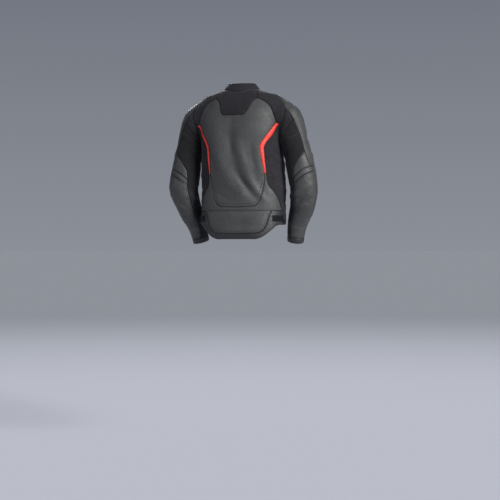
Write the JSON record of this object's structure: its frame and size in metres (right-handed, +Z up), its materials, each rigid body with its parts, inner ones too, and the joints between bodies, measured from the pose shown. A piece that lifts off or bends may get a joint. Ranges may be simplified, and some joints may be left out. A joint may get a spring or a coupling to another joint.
{
  "type": "motorcycle jacket",
  "caption": "Worn, hollow motorcycle jacket with a stand collar, panelled back, red angled inserts, curved sleeves, front zip and a dropped hem at the back.",
  "frame": {"origin": "inside the base of the neck, level with the top of the shoulders, where the wearer holds the jacket", "axes": "+Z up to the collar, -Y out of the chest, +Y out of the back, +X to the wearer's left"},
  "size_m": [0.6663, 0.2659, 0.6925],
  "materials": {
    "grey": "matte charcoal grain leather",
    "black": "matte black stretch textile",
    "red": "bright red leather",
    "webbing": "black woven webbing",
    "tape": "black zip tape",
    "metal": "dark satin",
    "plastic": "dark satin plastic"
  },
  "bodies": {
    "jacket": {"back_center": "grey", "neck_yoke": "black", "hip_wings": "grey", "lower_back": "grey", "hem_back": "black", "collar": "black", "zip_tape": "tape", "zip_slider": "metal", "shoulder_yoke_left": "black", "shoulder_yoke_right": "black", "red_insert_left": "red", "red_insert_right": "red", "side_panel_left": "black", "side_panel_right": "black", "front_left": "grey", "front_right": "grey", "hem_front_left": "black", "hem_front_right": "black", "sleeve_cap_left": "grey", "sleeve_cap_right": "grey", "sleeve_gusset_left": "black", "sleeve_gusset_right": "black", "upper_arm_left": "black", "upper_arm_right": "black", "elbow_patch_left": "grey", "elbow_patch_right": "grey", "elbow_stretch_left": "grey", "elbow_stretch_right": "grey", "forearm_back_left": "grey", "forearm_back_right": "grey", "forearm_front_left": "grey", "forearm_front_right": "grey", "forearm_inner_left": "black", "forearm_inner_right": "black", "cuff_left": "black", "cuff_right": "black", "waist_strap_left": "webbing", "waist_strap_right": "webbing", "strap_anchor_left": "webbing", "strap_anchor_right": "webbing", "strap_ring_left": "plastic", "strap_ring_right": "plastic"},
    "pull_tab": {"zip_pull": "metal"}
  },
  "joints": [
    {"name": "pull_tab_hinge", "type": "hinge", "parent": "jacket", "child": "pull_tab", "pos_m": [0.01049, -0.10753, -0.0497], "axis": [-1, 0, 0], "range_deg": [0, 165]}
  ]
}
